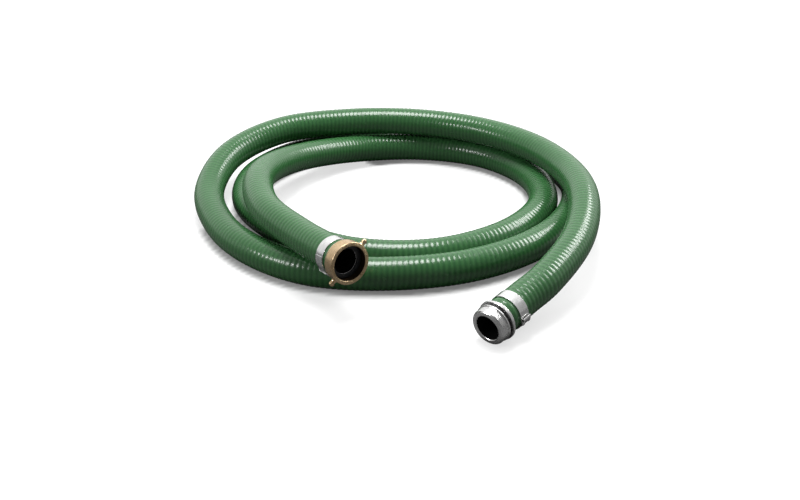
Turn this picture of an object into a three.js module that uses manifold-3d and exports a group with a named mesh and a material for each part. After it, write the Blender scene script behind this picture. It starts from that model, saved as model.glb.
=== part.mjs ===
// Suction hose, 2 inch bore, 20 ft long, lying in loose turns on the floor, with a pin-lug swivel
// nut on one end and a threaded nipple on the other. Millimetres, +Z up.
import * as THREE from "three";
import { mergeVertices } from "three/addons/utils/BufferGeometryUtils.js";
import Module from "manifold-3d";

const wasm = await Module();
wasm.setup();

// Driving dimensions

const seatGap = 0.3; // between two pieces that touch
const runningGap = 0.5; // between pieces that turn past each other

const hoseBore = 50.8;
const hoseWall = 4.6; // over its ribs
const hoseSides = 16;
const hoseSteps = 120;
const turnGap = 1.5; // between two turns that lie side by side

const shankWall = 3.6;
const shankLength = 48; // of either fitting, inside the hose
const barbPitch = 8;
const barbHeight = 0.9;
const spareLength = 14; // how much longer than a shank the hose's straight end is

const bandWidth = 20;
const bandThickness = 0.9;
const nutBandOffset = 11.5; // from the hose's cut end to the band
const nippleBandOffset = 15;
const buckleLength = 20.5; // across the band
const buckleWidth = 15; // round the band
const buckleHeight = 4;
const nutBuckleAngle = 228; // degrees anticlockwise from level, looking into the end
const nippleBuckleAngle = -14;

const flangeWidth = 4.1; // how far the flange in the nut stands out of the shank
const flangeThickness = 3;
const gasketThickness = 3.2;
const gasketInsetWidth = 0.5; // from the shank's bore to the gasket's
const nutWall = 7;
const nutLength = 24.5;
const nutBackThickness = 5;
const nutChamferWidth = 1.4;
const lugDiameter = 9.5;
const lugLength = 11; // out of the nut's side
const lugOffset = 7; // its centre, behind the nut's face
const lugAngle = 40;

const threadDepth = 2; // the nut's bore is the bottom of the same thread
const threadLength = 15.5;
const threadChamferWidth = 2.4;
const lipHeight = 1.5; // low shoulder behind the thread
const lipWidth = 2.5;
const grooveDepth = 1.5; // below the thread's top
const grooveWidth = 5.5;
const neckHeight = 1; // out of the hose's side
const neckWidth = 4.7;
const collarHeight = 4;
const collarWidth = 4.5;

const roundSides = 48; // of turned pieces
const lugSides = 16;

// Sizes that follow

const hoseRadius = hoseBore / 2 + hoseWall;
const turnPitch = 2 * hoseRadius + turnGap;
const straightRun = shankLength + spareLength;
const shankRadius = hoseBore / 2 - seatGap;
const boreRadius = shankRadius - shankWall; // of either fitting
const bandInner = hoseRadius + seatGap;
const bandOuter = bandInner + bandThickness;
const nutInner = shankRadius + flangeWidth + seatGap;
const nutOuter = nutInner + nutWall;
const threadRadius = nutInner + threadDepth;
const lipRadius = threadRadius + lipHeight;
const grooveRadius = threadRadius - grooveDepth;
const neckRadius = hoseRadius + neckHeight;
const collarRadius = neckRadius + collarHeight;

// Distances from a hose end along its axis, outwards
const nutBack = runningGap;
const nutFace = nutBack + nutLength;
const nutSeat = nutBack + nutBackThickness;
const flangeBack = nutSeat + runningGap;
const flangeFace = flangeBack + flangeThickness;
const collarBack = seatGap + neckWidth;
const collarFace = collarBack + collarWidth;
const lipBack = collarFace + grooveWidth;
const threadBack = lipBack + lipWidth;
const nippleFace = threadBack + threadLength;

// The nipple lies on its collar and on its thread's front edge, and this end of the hose follows.
const threadEdge = nippleFace - threadChamferWidth;
const nippleDip = Math.atan2(collarRadius - threadRadius, threadEdge - collarFace);

// Centre line of the hose

// Where each cut end lies, in turn pitches across and along the floor and over its lowest turn,
// and the heading and slope in degrees from the end back into the turns.
const nutEnd = { across: -1.35, along: -5.52, height: 1.12, heading: 126.1, slope: -3.2 };
const nippleEnd = { across: 2.79, along: -6.87, heading: 47.2 };

// The turns between them: across, along and how high, in turn pitches. At height 0 the hose lies
// on the floor, and at height 1 on another turn.
const turns = [
  [-3.85, -1.86, 1],
  [-4.33, 0.28, 1],
  [-4.01, 2.42, 0.71],
  [-2.91, 4.35, 0.37],
  [-1.16, 5.71, 0.09],
  [1.07, 6.07, 0.01],
  [3.27, 5.23, 0.02],
  [4.73, 3.32, 0],
  [4.91, 0.84, 0],
  [3.60, -1.53, 0],
  [1.31, -2.97, 0],
  [-1.18, -2.92, 0],
  [-3.37, -1.40, 0],
  [-4.81, 0.84, 0],
  [-4.89, 3.18, 0],
  [-3.71, 5.27, 0],
  [-1.57, 6.67, 0],
  [1.01, 7.10, 0],
  [3.51, 6.44, 0],
  [5.37, 4.80, 0],
  [6.17, 2.51, 0],
  [5.72, 0.00, 0],
  [4.34, -2.24, 0],
  [2.27, -3.69, 0],
  [-0.14, -4.22, 0],
  [-2.41, -3.93, 0],
  [-4.21, -2.69, 0],
  [-5.49, -0.82, 0.02],
  [-6.15, 1.37, 0.24],
  [-5.71, 3.51, 0.68],
  [-4.14, 5.21, 0.97],
  [-1.77, 6.10, 1],
  [0.78, 6.09, 1],
  [3.05, 5.16, 1],
  [4.73, 3.49, 1],
  [5.67, 1.31, 1],
  [5.85, -1.07, 1],
  [5.32, -3.39, 0.73],
];

function straightEnd(end, height, slope) {
  const heading = THREE.MathUtils.degToRad(end.heading);
  const level = straightRun * Math.cos(slope);
  const rise = straightRun * Math.sin(slope);
  const step = new THREE.Vector3(level * Math.cos(heading), level * Math.sin(heading), rise);
  const cut = new THREE.Vector3(end.across * turnPitch, end.along * turnPitch, height);
  return [cut, cut.clone().add(step), cut.clone().addScaledVector(step, 2)];
}

function makeCentreLine() {
  const between = turns.map(
    ([across, along, height]) =>
      new THREE.Vector3(across, along, height).multiplyScalar(turnPitch).add(new THREE.Vector3(0, 0, hoseRadius)),
  );
  const nutHeight = hoseRadius + nutEnd.height * turnPitch;
  const nippleHeight = collarFace * Math.sin(nippleDip) + collarRadius * Math.cos(nippleDip);
  return new THREE.CatmullRomCurve3([
    ...straightEnd(nutEnd, nutHeight, THREE.MathUtils.degToRad(nutEnd.slope)),
    ...between,
    ...straightEnd(nippleEnd, nippleHeight, nippleDip).reverse(),
  ]);
}

// Shapes

function ring(radius, sides) {
  const step = (2 * Math.PI) / sides;
  return Array.from(
    { length: sides },
    (_, k) => new THREE.Vector2(radius * Math.cos(k * step), radius * Math.sin(k * step)),
  );
}

// The bore's flats, not its corners, lie at the real radius, so that the shanks pass.
function hoseGeometry(centreLine) {
  const section = new THREE.Shape(ring(hoseRadius, hoseSides));
  const cornerRadius = hoseBore / 2 / Math.cos(Math.PI / hoseSides);
  section.holes.push(new THREE.Path(ring(cornerRadius, hoseSides)));
  return new THREE.ExtrudeGeometry(section, { steps: hoseSteps, extrudePath: centreLine });
}

// A closed profile of [radius, distance outwards] points, turned about the axis of the end.
function turned(profile, sides = roundSides) {
  const points = [...profile, profile[0]].map(([radius, out]) => new THREE.Vector2(radius, out));
  return new THREE.LatheGeometry(points, sides).rotateX(Math.PI / 2);
}

// The outside of a barbed shank, from its inner tip to the hose's cut end.
function barbs() {
  const count = Math.floor(shankLength / barbPitch) - 1;
  const outline = [];
  for (let k = 0; k < count; k += 1) {
    const tip = -shankLength + k * barbPitch;
    outline.push([shankRadius - barbHeight, tip], [shankRadius, tip + barbPitch - seatGap]);
  }
  outline.push([shankRadius - barbHeight, -shankLength + count * barbPitch]);
  outline.push([shankRadius, -shankLength + (count + 0.5) * barbPitch]);
  return outline;
}

function nutShank() {
  return turned([
    [boreRadius, -shankLength],
    ...barbs(),
    [shankRadius, flangeBack],
    [nutInner - seatGap, flangeBack],
    [nutInner - seatGap, flangeFace],
    [boreRadius, flangeFace],
  ]);
}

function nipple() {
  return turned([
    [boreRadius, -shankLength],
    ...barbs(),
    [shankRadius, seatGap],
    [neckRadius, seatGap],
    [neckRadius, collarBack],
    [collarRadius, collarBack],
    [collarRadius, collarFace],
    [grooveRadius, collarFace],
    [grooveRadius, lipBack],
    [lipRadius, lipBack],
    [lipRadius, threadBack],
    [threadRadius, threadBack],
    [threadRadius, threadEdge],
    [threadRadius - threadChamferWidth, nippleFace],
    [boreRadius, nippleFace],
  ]);
}

function gasket() {
  const back = flangeFace + seatGap;
  const outer = nutInner - seatGap;
  const inner = boreRadius + gasketInsetWidth;
  return turned([
    [inner, back],
    [outer, back],
    [outer, back + gasketThickness],
    [inner, back + gasketThickness],
  ]);
}

function band(offset) {
  return turned([
    [bandInner, -offset - bandWidth],
    [bandOuter, -offset - bandWidth],
    [bandOuter, -offset],
    [bandInner, -offset],
  ]);
}

// A curved plate across the band, on top of it.
function buckle(offset, angle) {
  const inner = bandOuter + seatGap;
  const half = buckleWidth / 2 / inner;
  const plate = new THREE.Shape();
  plate.absarc(0, 0, inner, -half, half, false);
  plate.absarc(0, 0, inner + buckleHeight, half, -half, true);
  return new THREE.ExtrudeGeometry(plate, { depth: buckleLength, bevelEnabled: false, curveSegments: 8 })
    .translate(0, 0, -offset - (bandWidth + buckleLength) / 2)
    .rotateZ(THREE.MathUtils.degToRad(angle));
}

function toSolid(geometry) {
  const bare = geometry.clone();
  bare.deleteAttribute("normal");
  bare.deleteAttribute("uv");
  const merged = mergeVertices(bare);
  const triVerts = new Uint32Array(merged.index.array);
  return new wasm.Manifold(
    new wasm.Mesh({ numProp: 3, vertProperties: merged.attributes.position.array, triVerts }),
  );
}

function toGeometry(solid) {
  const { vertProperties, triVerts } = solid.getMesh();
  return new THREE.BufferGeometry()
    .setAttribute("position", new THREE.BufferAttribute(new Float32Array(vertProperties), 3))
    .setIndex(new THREE.BufferAttribute(new Uint32Array(triVerts), 1));
}

// A round-ended pin that stands out of the nut.
function lug(angle) {
  const radius = lugDiameter / 2;
  const root = (nutInner + nutOuter) / 2;
  const tip = nutOuter + lugLength;
  const points = [new THREE.Vector2(0, root), new THREE.Vector2(radius, root)];
  for (let k = 0; k <= 4; k += 1) {
    const turn = (k * Math.PI) / 8;
    points.push(new THREE.Vector2(radius * Math.cos(turn), tip - radius + radius * Math.sin(turn)));
  }
  return new THREE.LatheGeometry(points, lugSides)
    .rotateZ(THREE.MathUtils.degToRad(angle) - Math.PI / 2)
    .translate(0, 0, nutFace - lugOffset);
}

function nut() {
  const body = turned([
    [shankRadius + runningGap, nutBack],
    [nutOuter - nutChamferWidth, nutBack],
    [nutOuter, nutBack + nutChamferWidth],
    [nutOuter, nutFace - nutChamferWidth],
    [nutOuter - nutChamferWidth, nutFace],
    [nutInner + nutChamferWidth, nutFace],
    [nutInner, nutFace - nutChamferWidth],
    [nutInner, nutSeat],
    [shankRadius + runningGap, nutSeat],
  ]);
  const pieces = [body, lug(lugAngle), lug(lugAngle + 180)].map(toSolid);
  return toGeometry(wasm.Manifold.union(pieces));
}

// Finishes

const finishes = {
  vinyl: { color: 0x1f6b3a, roughness: 0.28, metalness: 0 },
  aluminium: { color: 0xc9c9c6, roughness: 0.35, metalness: 1 },
  brass: { color: 0xc49a5a, roughness: 0.35, metalness: 1 },
  steel: { color: 0xd4d4d2, roughness: 0.25, metalness: 1 },
  rubber: { color: 0x15161a, roughness: 0.6, metalness: 0 },
};

function piece(name, geometry, finish) {
  const mesh = new THREE.Mesh(geometry, new THREE.MeshStandardMaterial(finishes[finish]));
  mesh.name = name;
  return mesh;
}

// A group at a cut end of the hose: its Z points out of the hose, its Y up and its X level.
function atEnd(cut, outwards) {
  const group = new THREE.Group();
  const up = new THREE.Vector3(0, 0, 1);
  const across = new THREE.Vector3().crossVectors(up, outwards).normalize();
  const basis = new THREE.Matrix4().makeBasis(across, outwards.clone().cross(across), outwards);
  group.quaternion.setFromRotationMatrix(basis);
  group.position.copy(cut);
  return group;
}

const centreLine = makeCentreLine();
const suctionHose = new THREE.Group();
suctionHose.add(piece("hose", hoseGeometry(centreLine), "vinyl"));

const nutGroup = atEnd(centreLine.getPoint(0), centreLine.getTangent(0).negate());
nutGroup.add(
  piece("nut_shank", nutShank(), "aluminium"),
  piece("swivel_nut", nut(), "brass"),
  piece("nut_gasket", gasket(), "rubber"),
  piece("nut_band", band(nutBandOffset), "steel"),
  piece("nut_band_buckle", buckle(nutBandOffset, nutBuckleAngle), "steel"),
);

const nippleGroup = atEnd(centreLine.getPoint(1), centreLine.getTangent(1));
nippleGroup.add(
  piece("threaded_nipple", nipple(), "aluminium"),
  piece("nipple_band", band(nippleBandOffset), "steel"),
  piece("nipple_band_buckle", buckle(nippleBandOffset, nippleBuckleAngle), "steel"),
);

suctionHose.add(nutGroup, nippleGroup);

export default suctionHose;
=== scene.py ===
import math
import bmesh
import bpy
import numpy as np
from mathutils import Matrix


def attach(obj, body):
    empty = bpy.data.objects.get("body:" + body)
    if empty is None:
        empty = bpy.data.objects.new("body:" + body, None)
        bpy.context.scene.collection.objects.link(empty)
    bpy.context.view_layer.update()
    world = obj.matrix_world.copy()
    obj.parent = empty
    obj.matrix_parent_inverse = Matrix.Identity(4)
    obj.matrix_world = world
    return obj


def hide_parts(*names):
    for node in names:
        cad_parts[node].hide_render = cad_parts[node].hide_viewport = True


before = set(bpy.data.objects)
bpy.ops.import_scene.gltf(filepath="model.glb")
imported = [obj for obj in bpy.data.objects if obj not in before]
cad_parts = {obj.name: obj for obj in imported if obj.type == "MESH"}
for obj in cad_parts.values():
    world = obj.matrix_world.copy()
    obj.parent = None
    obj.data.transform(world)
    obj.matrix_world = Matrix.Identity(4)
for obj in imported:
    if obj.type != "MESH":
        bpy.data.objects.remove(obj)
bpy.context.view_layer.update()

camera = {
    "focalPixels": 981.2,
    "imageWidth": 800,
    "sensorWidth": 36.0,  # mm
    "aim": (0.0123, -0.1051),  # point on the floor in the middle of the picture
    "distance": 1.8644,
    "lookDown": 26.25,  # degrees
    "farthest": 60,
}


def addCamera(c):
    tilt = math.radians(c["lookDown"])
    data = bpy.data.cameras.new("camera")
    data.sensor_width = c["sensorWidth"]
    data.lens = c["focalPixels"] * c["sensorWidth"] / c["imageWidth"]
    data.clip_end = c["farthest"]
    item = bpy.data.objects.new("camera", data)
    back, rise = c["distance"] * math.cos(tilt), c["distance"] * math.sin(tilt)
    item.location = (c["aim"][0], c["aim"][1] - back, rise)
    item.rotation_euler = (math.pi / 2 - tilt, 0, 0)
    bpy.context.scene.collection.objects.link(item)
    bpy.context.scene.camera = item


addCamera(camera)
print("camera placed")

hose = {
    "radius": 0.030,
    "boreRadius": 0.0254,
    "turnGap": 0.0015,
    "straightRun": 0.062,  # at each end
    # the nipple lies on its collar's front edge and its thread's: distance out and radius of each
    "restEdges": ((0.0095, 0.0350), (0.0306, 0.0315)),
    "ribPitch": 0.0094,
    "ribShape": (0.0, 0.12, 1.0, 0.12),  # depth below the crest over one pitch, as a share
    "ribDepth": 0.0006,
    "columns": 30,
    "boreStep": 0.024,
    "perSpan": 60,  # points of the route between two of those below
    "pathPoints": 700,  # of the cord's path
    # cut ends: across, along and how high, in turn pitches, then heading and slope into the turns
    "nutEnd": (-1.35, -5.52, 1.12, 126.1, -3.2),
    "nippleEnd": (2.79, -6.87, 47.2),
    # between them: across, along and how high, in turn pitches
    "turns": (
        (-3.85, -1.86, 1), (-4.33, 0.28, 1), (-4.01, 2.42, 0.71), (-2.91, 4.35, 0.37),
        (-1.16, 5.71, 0.09), (1.07, 6.07, 0.01), (3.27, 5.23, 0.02), (4.73, 3.32, 0),
        (4.91, 0.84, 0), (3.60, -1.53, 0), (1.31, -2.97, 0), (-1.18, -2.92, 0),
        (-3.37, -1.40, 0), (-4.81, 0.84, 0), (-4.89, 3.18, 0), (-3.71, 5.27, 0),
        (-1.57, 6.67, 0), (1.01, 7.10, 0), (3.51, 6.44, 0), (5.37, 4.80, 0),
        (6.17, 2.51, 0), (5.72, 0.00, 0), (4.34, -2.24, 0), (2.27, -3.69, 0),
        (-0.14, -4.22, 0), (-2.41, -3.93, 0), (-4.21, -2.69, 0), (-5.49, -0.82, 0.02),
        (-6.15, 1.37, 0.24), (-5.71, 3.51, 0.68), (-4.14, 5.21, 0.97), (-1.77, 6.10, 1),
        (0.78, 6.09, 1), (3.05, 5.16, 1), (4.73, 3.49, 1), (5.67, 1.31, 1),
        (5.85, -1.07, 1), (5.32, -3.39, 0.73),
    ),
}
turnPitch = 2 * hose["radius"] + hose["turnGap"]


# A cut end of the hose: where it lies, and the direction back into the turns. The nipple's dip
# is the angle of the line through the two edges it lies on.
def cutEnd(end):
    if len(end) == 5:
        height, slope = hose["radius"] + end[2] * turnPitch, math.radians(end[4])
        heading = math.radians(end[3])
    else:
        (nearOut, nearRadius), (farOut, farRadius) = hose["restEdges"]
        slope = math.atan2(nearRadius - farRadius, farOut - nearOut)
        height = nearOut * math.sin(slope) + nearRadius * math.cos(slope)
        heading = math.radians(end[2])
    level = math.cos(slope)
    back = np.array([level * math.cos(heading), level * math.sin(heading), math.sin(slope)])
    return np.array([end[0] * turnPitch, end[1] * turnPitch, height]), back


# the cut end and two points a straight run and two straight runs further in
def straightEnd(end):
    cut, back = cutEnd(end)
    return cut + hose["straightRun"] * back * np.arange(3)[:, None]


# smooth curve through points: on each span the cubic whose slopes at both ends are those of
# the three points round them, with spans timed by the square root of their length
def smoothCurve(points, perSpan):
    p = np.vstack([2 * points[0] - points[1], points, 2 * points[-1] - points[-2]])
    gap = np.sqrt(np.linalg.norm(np.diff(p, axis=0), axis=1))[:, None]
    a, b, c, d = p[:-3], p[1:-2], p[2:-1], p[3:]
    before, span, after = gap[:-2], gap[1:-1], gap[2:]
    slopeB = ((b - a) / before - (c - a) / (before + span) + (c - b) / span) * span
    slopeC = ((c - b) / span - (d - b) / (span + after) + (d - c) / after) * span
    t = (np.arange(perSpan) / perSpan)[None, :, None]
    b, c, slopeB, slopeC = (v[:, None, :] for v in (b, c, slopeB, slopeC))
    curve = b + slopeB * t + (3 * (c - b) - 2 * slopeB - slopeC) * t**2
    curve = curve + (2 * (b - c) + slopeB + slopeC) * t**3
    return np.vstack([curve.reshape(-1, 3), points[-1]])


def lengthAlong(line):
    return np.concatenate([[0], np.cumsum(np.linalg.norm(np.diff(line, axis=0), axis=1))])


def makeRoute(h):
    rows = np.array(h["turns"], float) * turnPitch + [0, 0, h["radius"]]
    start = straightEnd(h["nutEnd"])
    finish = straightEnd(h["nippleEnd"])[::-1]
    return smoothCurve(np.vstack([start, rows, finish]), h["perSpan"])


# points, sideways and upward unit vectors at distances s along the line: sideways is level,
# the tangent crossed with up, and upward is sideways crossed with the tangent
def framesAt(line, s):
    along = lengthAlong(line)
    tangents = np.gradient(line, along, axis=0)
    points = np.stack([np.interp(s, along, line[:, k]) for k in range(3)], -1)
    heading = np.stack([np.interp(s, along, tangents[:, k]) for k in range(3)], -1)
    heading /= np.linalg.norm(heading, axis=-1, keepdims=True)
    side = np.cross(heading, [0, 0, 1])
    side /= np.linalg.norm(side, axis=-1, keepdims=True)
    return points, side, np.cross(side, heading)


route = makeRoute(hose)
routeLength = float(lengthAlong(route)[-1])
print("route of the hose: %.3f m" % routeLength)


# a mesh from points and faces of three or four corners, with one uv pair per face corner
def makeMesh(name, points, faces, uvs=None, flat=False):
    mesh = bpy.data.meshes.new(name)
    mesh.from_pydata(points.tolist(), [], faces)
    if uvs is not None:
        layer = mesh.uv_layers.new(name="surface")
        layer.data.foreach_set("uv", uvs.astype(np.float32).ravel())
    mesh.polygons.foreach_set("use_smooth", np.full(len(mesh.polygons), not flat))
    mesh.update()
    item = bpy.data.objects.new(name, mesh)
    bpy.context.scene.collection.objects.link(item)
    return item


# quads between each ring of vertex numbers and the next, closed round the ring
def ringQuads(ids):
    nextIds = np.roll(ids, -1, axis=1)
    quads = np.stack([ids[:-1], nextIds[:-1], nextIds[1:], ids[1:]], -1)
    return quads.reshape(-1, 4)


# Rows that climb by rowsPerTurn each time round, so that row i is one helix: its corner j lies
# (i + rowsPerTurn * j / columns) steps along. Rows before the first ring or past the last one
# collapse onto that ring. Gives distances and angles of the new corners, then the faces' corner
# numbers and their (turns, way round) pairs; ring corners are numbered startIds and endIds.
def helicalGrid(length, pitch, rowsPerTurn, columns, firstId, startIds, endIds):
    step = pitch / rowsPerTurn
    rows = math.ceil(length / step) + rowsPerTurn + 1
    i = np.arange(-rowsPerTurn, rows)[:, None]
    j = np.arange(columns)[None, :]
    s = (i + rowsPerTurn * j / columns) * step
    margin = 0.3 * step  # a corner closer to an end than this falls onto its ring
    inside = (s > margin) & (s < length - margin)
    ids = np.where(s < length / 2, startIds[None, :], endIds[None, :])
    ids[inside] = firstId + np.arange(inside.sum())
    wrapped = np.concatenate([ids[rowsPerTurn:, :1], np.repeat(endIds[None, :1], rowsPerTurn, 0)])
    right = np.concatenate([ids[:, 1:], wrapped], axis=1)
    quads = np.stack([ids[:-1], right[:-1], right[1:], ids[1:]], -1).reshape(-1, 4)
    turns = np.stack([i[:-1], i[:-1], i[1:], i[1:]], -1) / rowsPerTurn
    turns = np.broadcast_to(turns, (len(i) - 1, columns, 4)).reshape(-1, 4)
    around = np.stack([j, j + 1, j + 1, j], -1) / columns
    around = np.broadcast_to(around, (len(i) - 1, columns, 4)).reshape(-1, 4)
    phase = np.broadcast_to(i % rowsPerTurn, s.shape)[inside]
    angle = np.broadcast_to(2 * math.pi * j / columns, s.shape)[inside]
    return s[inside], angle, phase, quads, np.stack([turns, around], -1)


# Faces whose corners partly coincide become triangles, and those with no area go. Gives the
# faces, their uv pairs, and the row of quads that each face comes from.
def cleanFaces(quads, uvs):
    same = quads == np.roll(quads, -1, axis=1)
    count = same.sum(axis=1)
    whole = count == 0
    three = count == 1
    keep = ~same[three]
    triangles = quads[three][keep].reshape(-1, 3)
    faces = quads[whole].tolist() + triangles.tolist()
    corners = np.concatenate([uvs[whole].reshape(-1, 2), uvs[three][keep].reshape(-1, 2)])
    return faces, corners, np.concatenate([np.flatnonzero(whole), np.flatnonzero(three)])


def newMaterial(name, **inputs):
    material = bpy.data.materials.new(name)
    material.use_nodes = True
    shader = material.node_tree.nodes["Principled BSDF"]
    for key, value in inputs.items():
        shader.inputs[key.replace("_", " ")].default_value = value
    return material, material.node_tree, shader


def addNode(tree, kind, values=None, **links):
    node = tree.nodes.new(kind)
    for key, value in (values or {}).items():
        if key in node.inputs:
            node.inputs[key].default_value = value
        else:
            setattr(node, key, value)
    for key, source in links.items():
        tree.links.new(source, node.inputs[key])
    return node


# noise on object coordinates, its middle part spread between two values
def spots(tree, scale, low=0, high=1, detail=3.0):
    where = addNode(tree, "ShaderNodeTexCoord").outputs["Object"]
    noise = addNode(tree, "ShaderNodeTexNoise", {"Scale": scale, "Detail": detail}, Vector=where)
    limits = {"From Min": 0.3, "From Max": 0.7, "To Min": low, "To Max": high}
    return addNode(tree, "ShaderNodeMapRange", limits, Value=noise.outputs["Fac"]).outputs[0]


def mixColours(tree, factor, first, second):
    node = tree.nodes.new("ShaderNodeMix")
    node.data_type = "RGBA"
    inputs = {"Factor_Float": factor, "A_Color": first, "B_Color": second}
    for socket in node.inputs:
        value = inputs.get(socket.identifier)
        if value is None:
            continue
        if hasattr(value, "is_output"):
            tree.links.new(value, socket)
        else:
            socket.default_value = value
    return next(s for s in node.outputs if s.identifier == "Result_Color")


# fine grain of a surface: scale of the noise, strength, and depth in metres
def addGrain(tree, shader, scale, strength, depth):
    values = {"Strength": strength, "Distance": depth}
    bump = addNode(tree, "ShaderNodeBump", values, Height=spots(tree, scale))
    tree.links.new(bump.outputs[0], shader.inputs["Normal"])


vinyl = {
    "crest": (0.033, 0.120, 0.037, 1),
    # darker in the rib grooves: partly dust, partly painted shade
    "groove": (0.024, 0.096, 0.030, 1),
    "patch": (0.039, 0.135, 0.043, 1),
    "patchScale": 9,
    "shine": 0.5,
    "roughness": (35, 0.20, 0.28),  # scale of the noise, least and most
    "grain": (260, 0.12, 0.0006),
}


def makeVinyl(v):
    material, tree, shader = newMaterial("green_vinyl", Specular_IOR_Level=v["shine"])
    uv = addNode(tree, "ShaderNodeUVMap", {"uv_map": "surface"}).outputs[0]
    turns = addNode(tree, "ShaderNodeSeparateXYZ", None, Vector=uv).outputs["X"]
    # 0 on a rib's crest and 1 in the groove: half of one less the cosine of the turns
    angle = addNode(tree, "ShaderNodeMath", {"operation": "MULTIPLY"})
    tree.links.new(turns, angle.inputs[0])
    angle.inputs[1].default_value = 2 * math.pi
    wave = addNode(tree, "ShaderNodeMath", {"operation": "COSINE"})
    tree.links.new(angle.outputs[0], wave.inputs[0])
    limits = {"From Min": 1.0, "From Max": -1.0}
    grooveShade = addNode(tree, "ShaderNodeMapRange", limits, Value=wave.outputs[0])
    base = mixColours(tree, spots(tree, v["patchScale"]), v["crest"], v["patch"])
    # the colour darkens towards the grooves: partly dust, partly painted shade
    colour = mixColours(tree, grooveShade.outputs[0], base, v["groove"])
    tree.links.new(colour, shader.inputs["Base Color"])
    tree.links.new(spots(tree, *v["roughness"]), shader.inputs["Roughness"])
    addGrain(tree, shader, *v["grain"])
    return material


# near-black painted shade for the bores of the nipple and the shank, which look dark only from
# shade
paintedBoreShade = {
    "colour": (0.004, 0.004, 0.004, 1),
    "shine": 0.15,
    "roughness": (120, 0.55, 0.75),
}


def makePaintedBoreShade(v):
    looks = {"Base_Color": v["colour"], "Specular_IOR_Level": v["shine"]}
    material, tree, shader = newMaterial("painted_shade_black", **looks)
    tree.links.new(spots(tree, *v["roughness"]), shader.inputs["Roughness"])
    return material


rubber = {
    "dark": (0.006, 0.006, 0.007, 1),
    "pale": (0.02, 0.02, 0.022, 1),
    "toneScale": 150,
    "roughness": (200, 0.35, 0.55),
    "grain": (900, 0.2, 0.0003),
}


def makeRubber(v):
    material, tree, shader = newMaterial("black_rubber")
    tone = mixColours(tree, spots(tree, v["toneScale"]), v["dark"], v["pale"])
    tree.links.new(tone, shader.inputs["Base Color"])
    tree.links.new(spots(tree, *v["roughness"]), shader.inputs["Roughness"])
    addGrain(tree, shader, *v["grain"])
    return material


# pale and dark tone, least and most roughness, scale of the tones, strength of the grain
metals = {
    "turned_aluminium": ((0.80, 0.80, 0.79, 1), (0.66, 0.66, 0.66, 1), (0.22, 0.34), 60, 0.10),
    # aluminium darkened with painted shade, for the floor of the nipple's groove
    "painted_shade_aluminium": ((0.12, 0.12, 0.12, 1), (0.05, 0.05, 0.05, 1), (0.40, 0.55), 70, 0.10),
    "cast_brass": ((0.66, 0.50, 0.31, 1), (0.52, 0.37, 0.21, 1), (0.24, 0.36), 70, 0.14),
    "shaded_brass": ((0.035, 0.022, 0.012, 1), (0.020, 0.013, 0.008, 1), (0.45, 0.60), 80, 0.10),
    "strap_steel": ((0.86, 0.86, 0.85, 1), (0.74, 0.74, 0.74, 1), (0.18, 0.28), 90, 0.08),
}


# the roughness varies three times as finely as the tones, and the grain eight times
def makeMetal(name):
    pale, dark, roughness, scale, strength = metals[name]
    grainDepth = 0.0004
    material, tree, shader = newMaterial(name, Metallic=1.0)
    tone = mixColours(tree, spots(tree, scale, detail=4.0), dark, pale)
    tree.links.new(tone, shader.inputs["Base Color"])
    tree.links.new(spots(tree, scale * 3, *roughness), shader.inputs["Roughness"])
    addGrain(tree, shader, scale * 8, strength, grainDepth)
    return material


greenVinyl = makeVinyl(vinyl)
paintedShadeBlack = makePaintedBoreShade(paintedBoreShade)
blackRubber = makeRubber(rubber)
castAluminium, paintedShadeAluminium, paleBrass, darkBrass, strapSteel = map(makeMetal, metals)
print("materials made")


# The outside: at each corner the route's point plus radius times (cosine of the angle sideways
# and sine of it upwards), the radius less ribDepth times the rib's shape at that row.
def makeHose(h):
    n = h["columns"]
    length = lengthAlong(route)[-1]
    boreRows = math.ceil(length / h["boreStep"])
    start, end = np.arange(n), n + np.arange(n)
    ribShape = np.array(h["ribShape"])
    grid = helicalGrid(length, h["ribPitch"], len(ribShape), n, 2 * n, start, end)
    s, angle, phase, quads, uvs = grid
    ringAngle = 2 * math.pi * np.arange(n) / n
    endRadius = h["radius"] - h["ribDepth"]
    ribRadius = h["radius"] - h["ribDepth"] * ribShape[phase]
    s = np.concatenate([np.zeros(n), np.full(n, length), s])
    angle = np.concatenate([ringAngle, ringAngle, angle])
    radius = np.concatenate([np.full(2 * n, endRadius), ribRadius])
    boreS = np.repeat(np.linspace(0, length, boreRows), n)
    s = np.concatenate([s, boreS])
    angle = np.concatenate([angle, np.tile(ringAngle, boreRows)])
    radius = np.concatenate([radius, np.full(len(boreS), h["boreRadius"])])
    points, side, up = framesAt(route, s)
    spoke = np.cos(angle)[:, None] * side + np.sin(angle)[:, None] * up
    points = points + radius[:, None] * spoke
    boreIds = len(points) - len(boreS) + np.arange(len(boreS)).reshape(boreRows, n)
    bore = ringQuads(boreIds)[:, ::-1]
    cutA = ringQuads(np.stack([boreIds[0], start]))
    cutB = ringQuads(np.stack([end, boreIds[-1]]))
    plain = np.concatenate([bore, cutA, cutB])
    uvs = np.concatenate([uvs, np.zeros((len(plain), 4, 2))])
    faces, corners, _ = cleanFaces(np.concatenate([quads, plain]), uvs)
    item = makeMesh("suction_hose", points, faces, corners)
    item.data.materials.append(greenVinyl)
    return item


suctionHose = makeHose(hose)
print("hose made: %d faces" % len(suctionHose.data.polygons))

# what both couplings share
couplings = {
    "shankRadius": 0.0251,
    "boreRadius": 0.0215,
    "shankLength": 0.048,
    "barbPitch": 0.008,
    "barbHeight": 0.0009,
    "barbStep": 0.0004,
    # how all turned pieces are made
    "roundColumns": 96,
    "cornerSteps": 3,
    "cornerShare": 0.42,  # most that a corner takes of a side
    "threadFade": 0.6,  # share of the pitch over which a thread runs out
}


# origin and the axes across, up and outwards at a cut end of the hose
def endFrame(end):
    cut, back = cutEnd(end)
    across = np.cross([0, 0, 1], -back)
    across /= np.linalg.norm(across)
    return cut, np.array([across, np.cross(-back, across), -back])


nutPlace = endFrame(hose["nutEnd"])
nipplePlace = endFrame(hose["nippleEnd"])


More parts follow.
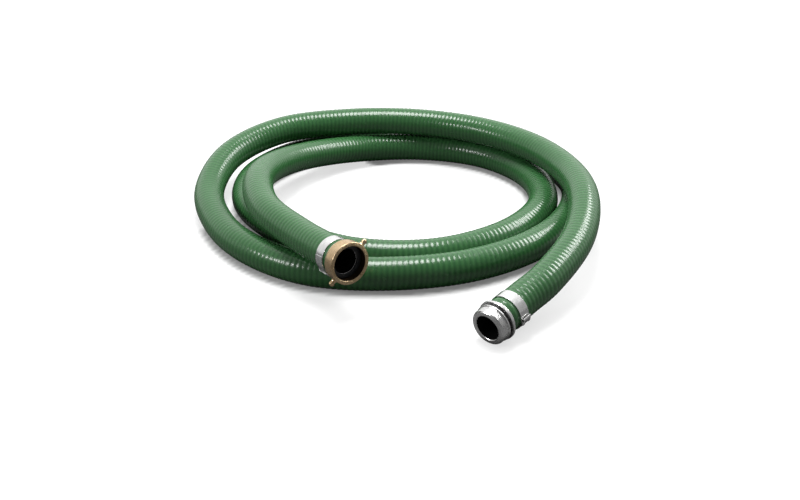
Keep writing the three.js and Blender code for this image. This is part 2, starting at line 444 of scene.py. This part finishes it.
# Each corner of a closed outline becomes a short curve from one side to the next: the average
# of start, corner and end, weighted by the squares of what is left and done and twice their
# product. A corner's last point and the next one's first bound the straight side between.
def softened(outline, size):
    corner = np.array(outline, float)
    before, after = np.roll(corner, 1, axis=0), np.roll(corner, -1, axis=0)
    lengthBefore = np.linalg.norm(corner - before, axis=1)
    lengthAfter = np.linalg.norm(after - corner, axis=1)
    most = couplings["cornerShare"] * np.minimum(lengthBefore, lengthAfter)
    cut = np.minimum(size, most)[:, None]
    start = corner + (before - corner) / lengthBefore[:, None] * cut
    stop = corner + (after - corner) / lengthAfter[:, None] * cut
    start, middle, stop = start[:, None], corner[:, None], stop[:, None]
    t = np.linspace(0, 1, couplings["cornerSteps"] + 1)[None, :, None]
    curve = (1 - t) ** 2 * start + 2 * t * (1 - t) * middle + t**2 * stop
    return curve.reshape(-1, 2)


# Turned points: radius times (cosine, sine) of the angle in the first two axes, and the
# distance along the third, carried to the place.
def turnedPoints(radius, out, angle, place):
    origin, axes = place
    local = np.stack([radius * np.cos(angle), radius * np.sin(angle), out], -1)
    return origin + local @ axes


# A closed profile of [radius, distance] corners turned once round, its corners rounded over the
# given size, and the sides listed in threads cut by a helix: side number to (pitch, depth,
# shape). finishes gives each side's material.
def makeTurned(name, profile, corner, place, materials, finishes=None, threads=None):
    threads = threads or {}
    n = couplings["roundColumns"]
    steps = couplings["cornerSteps"] + 1
    rings = softened(profile, corner)
    ringAngle = 2 * math.pi * np.arange(n) / n
    radius, out = np.repeat(rings[:, 0], n), np.repeat(rings[:, 1], n)
    points = [turnedPoints(radius, out, np.tile(ringAngle, len(rings)), place)]
    ids = np.arange(len(rings) * n).reshape(len(rings), n)
    side = np.arange(len(rings)) // steps
    straight = np.arange(len(rings)) % steps == steps - 1
    quads = ringQuads(np.concatenate([ids, ids[:1]])).reshape(len(rings), n, 4)
    finish = np.array(finishes or [0] * len(profile))[side]
    cut = straight & np.isin(side, list(threads))
    faces, slots = [quads[~cut].reshape(-1, 4)], [np.repeat(finish[~cut], n)]
    count = len(rings) * n
    for k, (pitch, depth, shape) in threads.items():
        here, there = k * steps + steps - 1, (k * steps + steps) % len(rings)
        first, last = rings[here], rings[there]
        length = np.linalg.norm(last - first)
        grid = helicalGrid(length, pitch, len(shape), n, count, ids[here], ids[there])
        s, angle, phase, cells, _ = grid
        fade = np.clip(np.minimum(s, length - s) / (couplings["threadFade"] * pitch), 0, 1)
        along = s / length
        radius = first[0] + (last[0] - first[0]) * along + depth * fade * np.array(shape)[phase]
        out = first[1] + (last[1] - first[1]) * along
        points.append(turnedPoints(radius, out, angle, place))
        count += len(s)
        faces.append(cells)
        slots.append(np.full(len(cells), finish[here]))
    quads, slots = np.concatenate(faces), np.concatenate(slots)
    faceList, _, source = cleanFaces(quads, np.zeros((len(quads), 4, 2)))
    item = makeMesh(name, np.concatenate(points), faceList)
    for material in materials:
        item.data.materials.append(material)
    item.data.polygons.foreach_set("material_index", slots[source].astype(np.int32))
    faceOutwards(item)
    keepSidesFlat(item)
    return item


def faceOutwards(item):
    work = bmesh.new()
    work.from_mesh(item.data)
    bmesh.ops.recalc_face_normals(work, faces=work.faces)
    work.to_mesh(item.data)
    work.free()


# large faces weigh more in the normals at their corners
def keepSidesFlat(item):
    largeFaces = 60  # 50 is even
    item.modifiers.new("flat sides stay flat", "WEIGHTED_NORMAL").weight = largeFaces


# the bore's end and the outside of a barbed shank: from its tip, ramps that fall at each barb
def shankOutline(backOut):
    c = couplings
    count = int(c["shankLength"] // c["barbPitch"]) - 1
    low, high = c["shankRadius"] - c["barbHeight"], c["shankRadius"]
    tip = -c["shankLength"]
    outline = [(c["boreRadius"], tip)]
    for k in range(count):
        barb = tip + k * c["barbPitch"]
        outline += [(low, barb), (high, barb + c["barbPitch"] - c["barbStep"])]
    last = tip + count * c["barbPitch"]
    return outline + [(low, last), (high, last + c["barbPitch"] / 2), (high, backOut)]


swivel = {
    "nutBack": 0.0005,
    "nutSeat": 0.0055,
    "nutFace": 0.0250,
    "nutInner": 0.0295,
    "nutOuter": 0.0365,
    "hubRadius": 0.0342,  # the nut's shoulder towards the hose
    "shoulder": 0.0045,
    "beadWidth": 0.0035,  # raised rim at the nut's face
    "beadDepth": 0.0006,
    "threadPitch": 0.0022,
    "threadDepth": 0.0012,
    "threadShape": (0.0, 0.35, 1.0, 0.35),
    "flangeBack": 0.0060,
    "flangeFace": 0.0090,
    "flangeRadius": 0.0292,
    "bareLip": 0.0012,  # bare metal at the mouth of the bore
    "boreBevel": 0.0005,
    "nutClearance": 0.0005,  # round the shank
    "rimBevel": 0.0008,
    "mouthBevel": 0.0014,
    "gasket": (0.0220, 0.0292, 0.0093, 0.0125),  # bore, outside, back, face
    "shankCorner": 0.0003,
    "nutCorner": 0.0008,
    "gasketCorner": 0.0009,
    "lugOut": 0.0180,
    "lugAngle": 40,
    "lugColumns": 40,
    # the pin's radius at distances from the nut's axis, from inside the wall to its round end
    "lugOutline": (
        (0.0, 0.0325), (0.0062, 0.0325), (0.0062, 0.0352), (0.0052, 0.0366), (0.0044, 0.0380),
        (0.0040, 0.0400), (0.0040, 0.0415), (0.0046, 0.0428), (0.00475, 0.0443), (0.0043, 0.0458),
        (0.0032, 0.0469), (0.0016, 0.0474), (0.0, 0.0475),
    ),
}


def makeShank(v):
    bore, face = couplings["boreRadius"], v["flangeFace"]
    outline = shankOutline(v["flangeBack"]) + [
        (v["flangeRadius"], v["flangeBack"]),
        (v["flangeRadius"], face),
        (bore + v["boreBevel"], face),
        (bore, face - v["bareLip"]),
    ]
    # the last side, into the bore, gets the near-black painted shade
    finishes = [0] * (len(outline) - 1) + [1]
    metal = [castAluminium, paintedShadeBlack]
    return makeTurned("nut_shank_turned", outline, v["shankCorner"], nutPlace, metal, finishes)


def makeNut(v):
    hole = couplings["shankRadius"] + v["nutClearance"]
    waist, bevel, mouth = v["nutOuter"] - v["beadDepth"], v["rimBevel"], v["mouthBevel"]
    outline = [
        (hole, v["nutBack"]),
        (v["hubRadius"], v["nutBack"]),
        (waist, v["nutBack"] + v["shoulder"]),
        (waist, v["nutFace"] - v["beadWidth"] - bevel),
        (v["nutOuter"], v["nutFace"] - v["beadWidth"]),
        (v["nutOuter"], v["nutFace"] - bevel),
        (v["nutOuter"] - bevel, v["nutFace"]),
        (v["nutInner"] + mouth, v["nutFace"]),
        (v["nutInner"], v["nutFace"] - mouth),
        (v["nutInner"], v["nutSeat"]),
        (hole, v["nutSeat"]),
    ]
    wall = 8  # the side inside the nut that has the thread; it, the seat and the hole are shaded
    finishes = [0] * wall + [1] * 3
    threads = {wall: (v["threadPitch"], v["threadDepth"], v["threadShape"])}
    metal = [paleBrass, darkBrass]
    body = makeTurned(
        "swivel_nut_cast", outline, v["nutCorner"], nutPlace, metal, finishes, threads
    )
    for turn in (0, 180):
        joinTo(body, makeLug(v, v["lugAngle"] + turn))
    return body


# a pin turned about a line across the nut, its outline's radius by distance from the nut's axis
def makeLug(v, degrees):
    outline = np.array(v["lugOutline"])
    n = v["lugColumns"]
    angle = math.radians(degrees)
    origin, (across, up, outwards) = nutPlace
    axis = math.cos(angle) * across + math.sin(angle) * up
    middle = origin + outwards * v["lugOut"]
    axes = np.array([np.cross(outwards, axis), outwards, axis])
    radius, out = outline[1:-1].T
    around = np.tile(2 * math.pi * np.arange(n) / n, len(radius))
    points = turnedPoints(np.repeat(radius, n), np.repeat(out, n), around, (middle, axes))
    tips = middle + axis * outline[[0, -1], 1][:, None]
    ids = np.arange(len(points)).reshape(-1, n)
    faces = ringQuads(ids).tolist()
    for k, row in enumerate((0, -1)):
        fan = [np.full(n, len(points) + k), ids[row], np.roll(ids[row], -1)]
        faces += np.stack(fan, -1).tolist()
    lug = makeMesh("lug", np.vstack([points, tips]), faces)
    lug.data.materials.append(paleBrass)
    faceOutwards(lug)
    return lug


# the union of two closed pieces, left in the first
def joinTo(body, extra):
    union = body.modifiers.new("join", "BOOLEAN")
    union.operation, union.solver, union.object = "UNION", "EXACT", extra
    weighted = body.modifiers["flat sides stay flat"]
    weighted.show_viewport = False
    shown = bpy.context.evaluated_depsgraph_get()
    joined = bpy.data.meshes.new_from_object(body.evaluated_get(shown))
    body.modifiers.remove(union)
    weighted.show_viewport = True
    body.data = joined
    bpy.data.objects.remove(extra)


def makeGasket(v):
    bore, outside, back, face = v["gasket"]
    outline = [(bore, back), (outside, back), (outside, face), (bore, face)]
    return makeTurned("nut_gasket_ring", outline, v["gasketCorner"], nutPlace, [blackRubber])


turnedShank = makeShank(swivel)
castNut = makeNut(swivel)
gasketRing = makeGasket(swivel)
print("swivel end made")

nipple = {
    "neckRadius": 0.0310,
    "neckBack": 0.0003,
    "collarRadius": 0.0350,
    "collarBack": 0.0050,
    "collarFace": 0.0095,
    "grooveRadius": 0.0300,
    "lipRadius": 0.0330,
    "lipBack": 0.0150,
    "threadBack": 0.0175,
    "threadRoot": 0.0309,
    "threadDepth": 0.0006,
    "threadPitch": 0.0022,
    "threadShape": (1.0, 0.6, 0.0, 0.6),
    "chamfer": 0.0024,
    "face": 0.0330,
    "mouth": 0.0014,
    "corner": 0.0005,
}


def makeNipple(v):
    root, face, bore = v["threadRoot"], v["face"], couplings["boreRadius"]
    outline = shankOutline(v["neckBack"]) + [
        (v["neckRadius"], v["neckBack"]),
        (v["neckRadius"], v["collarBack"]),
        (v["collarRadius"], v["collarBack"]),
        (v["collarRadius"], v["collarFace"]),
        (v["grooveRadius"], v["collarFace"]),
        (v["grooveRadius"], v["lipBack"]),
        (v["lipRadius"], v["lipBack"]),
        (v["lipRadius"], v["threadBack"]),
        (root, v["threadBack"]),
        (root, face - v["chamfer"]),
        (root - v["chamfer"], face),
        (bore + v["mouth"], face),
        (bore, face - v["mouth"]),
    ]
    groove, thread, bore = (len(outline) - k for k in (9, 5, 1))
    finishes = [0] * len(outline)
    # the groove's floor gets the aluminium with painted shade, and the bore the near-black
    # painted shade
    finishes[groove], finishes[bore] = 2, 1
    threads = {thread: (v["threadPitch"], v["threadDepth"], v["threadShape"])}
    metal = [castAluminium, paintedShadeBlack, paintedShadeAluminium]
    return makeTurned(
        "nipple_turned", outline, v["corner"], nipplePlace, metal, finishes, threads
    )


turnedNipple = makeNipple(nipple)
print("threaded end made")

strap = {
    "inner": 0.0303,
    "thickness": 0.0009,
    "width": 0.020,
    "nutOffset": 0.0115,
    "nippleOffset": 0.0150,
    "nutAngle": 228,
    "nippleAngle": -14,
    "tailWidth": 0.0184,
    # runs round the band and height over it, in mm: the doubled strap, then its end folded back
    "tail": (
        (-34, 0.55), (-30, 0.55), (-24, 0.55), (-18, 0.55), (-12, 0.6), (-8, 0.9),
        (-4, 1.25), (0, 1.35), (4, 1.35), (6.6, 1.5), (7.9, 2.1), (8.3, 2.9),
        (7.9, 3.7), (6.8, 4.15), (5, 4.1), (2.5, 3.6), (0.5, 3.3), (-1.5, 3.2),
    ),
    "saddle": (
        (-7.6, 0.75), (-6.6, 1.4), (-5, 2.15), (-2.5, 2.35), (1, 2.35), (4, 2.3), (5.4, 2.2),
    ),
    "saddleWidth": 0.0205,
    # across the strap and height over it, in mm
    "ear": (
        (9.95, 0.6), (10.1, 1.6), (10.0, 2.9), (9.3, 3.75), (7.8, 3.95), (6.0, 3.85), (4.4, 3.7),
    ),
    "earRun": (-3.2, 3.4),  # in mm
    "sheet": 0.0009,
    "edge": 0.0002,  # rounding of the sheet's edges, where they turn by more than edgeAngle
    "edgeAngle": 50,
    "corner": 0.00035,
}


# A strip of even thickness along a line of (run, height) points round the band, between two
# distances along the axis; or, with the line across the band, between two runs round it.
def makeStrip(name, line, low, high, offset, degrees, place, acrossBand=False):
    line = np.array(line) / 1000
    along = np.gradient(line, axis=0)
    along /= np.linalg.norm(along, axis=1, keepdims=True)
    normal = np.stack([-along[:, 1], along[:, 0]], -1) * strap["sheet"] / 2
    top, bottom = line + normal, line - normal
    rows = len(line)
    face = np.stack([top, top, bottom, bottom], 1)
    edge = np.broadcast_to(np.array([low, high, high, low]), (rows, 4))
    height = face[..., 1]
    run, depth = (edge, face[..., 0]) if acrossBand else (face[..., 0], edge)
    outer = strap["inner"] + strap["thickness"]
    middle = -offset - strap["width"] / 2
    angle = math.radians(degrees) + run / outer
    points = turnedPoints(outer + height, middle + depth, angle, place).reshape(-1, 3)
    ids = np.arange(rows * 4).reshape(rows, 4)
    faces = ringQuads(ids).tolist() + [ids[0].tolist(), ids[-1][::-1].tolist()]
    item = makeMesh(name, points, faces)
    item.data.materials.append(strapSteel)
    faceOutwards(item)
    soft = item.modifiers.new("rounded edges", "BEVEL")
    soft.width, soft.segments = strap["edge"], 2
    soft.limit_method, soft.angle_limit = "ANGLE", math.radians(strap["edgeAngle"])
    return item


def makeBand(name, v, offset, place):
    inner, outer = v["inner"], v["inner"] + v["thickness"]
    back, front = -offset - v["width"], -offset
    outline = [(inner, back), (outer, back), (outer, front), (inner, front)]
    return makeTurned(name, outline, v["corner"], place, [strapSteel])


def makeBuckle(name, v, offset, degrees, place):
    where = (offset, degrees, place)
    half, wide = v["tailWidth"] / 2, v["saddleWidth"] / 2
    low, high = np.array(v["earRun"]) / 1000
    parts = [
        makeStrip(name, v["tail"], -half, half, *where),
        makeStrip("saddle", v["saddle"], -wide, wide, *where),
    ]
    for side in (1, -1):
        ear = [(side * across, height) for across, height in v["ear"]]
        parts.append(makeStrip("ear", ear, low, high, *where, acrossBand=True))
    return mergeParts(parts)


# the shown meshes of several pieces in one object, named after the first
def mergeParts(parts):
    shown = bpy.context.evaluated_depsgraph_get()
    work = bmesh.new()
    for part in parts:
        mesh = bpy.data.meshes.new_from_object(part.evaluated_get(shown))
        work.from_mesh(mesh)
        bpy.data.meshes.remove(mesh)
    first = parts[0]
    first.modifiers.clear()
    work.to_mesh(first.data)
    work.free()
    for part in parts[1:]:
        bpy.data.objects.remove(part)
    first.data.polygons.foreach_set("use_smooth", np.ones(len(first.data.polygons), bool))
    keepSidesFlat(first)
    return first


atNut, atNipple = strap["nutOffset"], strap["nippleOffset"]
nutBand = makeBand("nut_band_strap", strap, atNut, nutPlace)
nippleBand = makeBand("nipple_band_strap", strap, atNipple, nipplePlace)
nutBuckle = makeBuckle("nut_buckle_folded", strap, atNut, strap["nutAngle"], nutPlace)
nippleBuckle = makeBuckle(
    "nipple_buckle_folded", strap, atNipple, strap["nippleAngle"], nipplePlace
)
print("bands made")

studio = {
    "floorGrid": (0.9, 0.01, 15.0),  # reach and step of its fine part, and reach of the rest
    "floorDark": (0.12, 0.12, 0.12, 1),  # as the pieces see it
    "floorPale": (0.36, 0.36, 0.36, 1),  # as the camera sees it, with the glow added
    "glow": (0.66, 1.1),  # near the hose and far from it
    # the glow left under the hose, where its drop paints a contact shadow
    "contactGlow": 0.15,  # under the hose
    "glowReach": (0.62, 1.5),  # from the middle
    "contactReach": (0.022, 0.034),  # from the centre line of the hose where it is low
    "lowHose": 0.034,
    "routePoints": 400,
    "topLight": {"place": (-0.15, 0.35, 2.6), "size": (1.2, 1.2), "power": 78},
    "rightLight": {
        "place": (2.0, 1.24, 1.96),
        "size": (1.8, 0.55),
        "power": 52,
        "aim": (0.3, -0.2, 0.1),
    },
    "leftLight": {
        "place": (-2.66, -1.15, 1.49),
        "size": (0.8, 0.4),
        "power": 30,
        "aim": (-0.2, -0.25, 0.05),
    },
    "worldBack": 1.2,
    "worldFront": 0.18,
    "worldDepth": (-0.3, 0.8),  # share of the way back where it starts and stops to grow
}


# runs smoothly from 0 to 1 between two values: three times the square of the share of the way
# less twice its cube
def easedStep(value, low, high):
    t = np.clip((value - low) / (high - low), 0, 1)
    return t * t * (3 - 2 * t)


# A white floor whose shadows are lifted for the camera by a painted glow that grows with the
# distance from the middle and fades out under the hose, a painted contact shadow; the pieces see
# and mirror a darker one.
def addFloor(s):
    reach, step, far = s["floorGrid"]
    line = np.concatenate([[-far], np.arange(-reach, reach + step / 2, step), [far]])
    n = len(line)
    x, y = np.meshgrid(line, line)
    points = np.stack([x.ravel(), y.ravel(), np.zeros(n * n)], -1)
    ids = np.arange(n * n).reshape(n, n)
    faces = np.stack([ids[:-1, :-1], ids[:-1, 1:], ids[1:, 1:], ids[1:, :-1]], -1).reshape(-1, 4)
    floor = makeMesh("floor", points, faces.tolist(), flat=True)
    low = framesAt(route, np.linspace(0, routeLength, s["routePoints"]))[0]
    low = low[low[:, 2] < s["lowHose"], :2].astype(np.float32)
    spot = points[:, None, :2].astype(np.float32)
    nearest = np.sqrt(((spot - low[None]) ** 2).sum(-1).min(axis=1))
    outer = easedStep(np.hypot(points[:, 0], points[:, 1]), *s["glowReach"])
    glow = s["glow"][0] + (s["glow"][1] - s["glow"][0]) * outer
    # painted contact shadow: the glow falls to contactGlow under the low parts of the hose
    glow = s["contactGlow"] + (glow - s["contactGlow"]) * easedStep(nearest, *s["contactReach"])
    layer = floor.data.attributes.new("glow", "FLOAT", "POINT")
    layer.data.foreach_set("value", glow.astype(np.float32))
    looks = {"Roughness": 1.0, "Specular_IOR_Level": 0.0, "Emission_Color": (1, 1, 1, 1)}
    material, tree, shader = newMaterial("white_floor", **looks)
    seen = addNode(tree, "ShaderNodeLightPath").outputs["Is Camera Ray"]
    tone = mixColours(tree, seen, s["floorDark"], s["floorPale"])
    tree.links.new(tone, shader.inputs["Base Color"])
    amount = addNode(tree, "ShaderNodeAttribute", {"attribute_name": "glow"})
    shown = addNode(tree, "ShaderNodeMath", {"operation": "MULTIPLY"})
    tree.links.new(amount.outputs["Fac"], shown.inputs[0])
    tree.links.new(seen, shown.inputs[1])
    tree.links.new(shown.outputs[0], shader.inputs["Emission Strength"])
    floor.data.materials.append(material)


# A light shines down its own third axis, so it is tipped by the angle between straight down and
# the aim, and turned about the vertical to the aim's heading.
def addAreaLight(name, place, size, power, aim=(0, 0, 0)):
    data = bpy.data.lights.new(name, "AREA")
    data.shape = "RECTANGLE"
    data.size, data.size_y = size
    data.energy = power
    item = bpy.data.objects.new(name, data)
    item.location = place
    towards = np.array(aim, float) - np.array(place)
    towards /= np.linalg.norm(towards)
    item.rotation_euler = (math.acos(-towards[2]), 0, math.atan2(-towards[0], towards[1]))
    bpy.context.scene.collection.objects.link(item)


# grey that rises from the front of the room to its back
def addWorld(s):
    world = bpy.data.worlds.new("room")
    bpy.context.scene.world = world
    world.use_nodes = True
    tree = world.node_tree
    background = tree.nodes["Background"]
    where = addNode(tree, "ShaderNodeTexCoord").outputs["Generated"]
    depth = addNode(tree, "ShaderNodeSeparateXYZ", None, Vector=where).outputs["Y"]
    limits = dict(zip(("From Min", "From Max"), s["worldDepth"]))
    limits.update({"To Min": s["worldFront"], "To Max": s["worldBack"]})
    level = addNode(tree, "ShaderNodeMapRange", limits, Value=depth)
    tree.links.new(level.outputs[0], background.inputs["Strength"])
    background.inputs["Color"].default_value = (1, 1, 1, 1)


addFloor(studio)
addWorld(studio)
for name in ("topLight", "rightLight", "leftLight"):
    addAreaLight(name, **studio[name])
bpy.context.scene.view_settings.view_transform = "Standard"
print("floor and lights placed")

riders = (
    (suctionHose, "hose_body", "hose", "vinyl"),
    (turnedShank, "hose_body", "nut_shank", "aluminium"),
    (castNut, "nut_body", "swivel_nut", "brass"),
    (gasketRing, "nut_body", "nut_gasket", "rubber"),
    (nutBand, "hose_body", "nut_band", "steel"),
    (nutBuckle, "hose_body", "nut_band_buckle", "steel"),
    (turnedNipple, "hose_body", "threaded_nipple", "aluminium"),
    (nippleBand, "hose_body", "nipple_band", "steel"),
    (nippleBuckle, "hose_body", "nipple_band_buckle", "steel"),
)
for item, body, node, finish in riders:
    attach(item, body)
    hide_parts(node)
cordPath = framesAt(route, np.linspace(0, routeLength, hose["pathPoints"]))[0]
print("pieces declared")
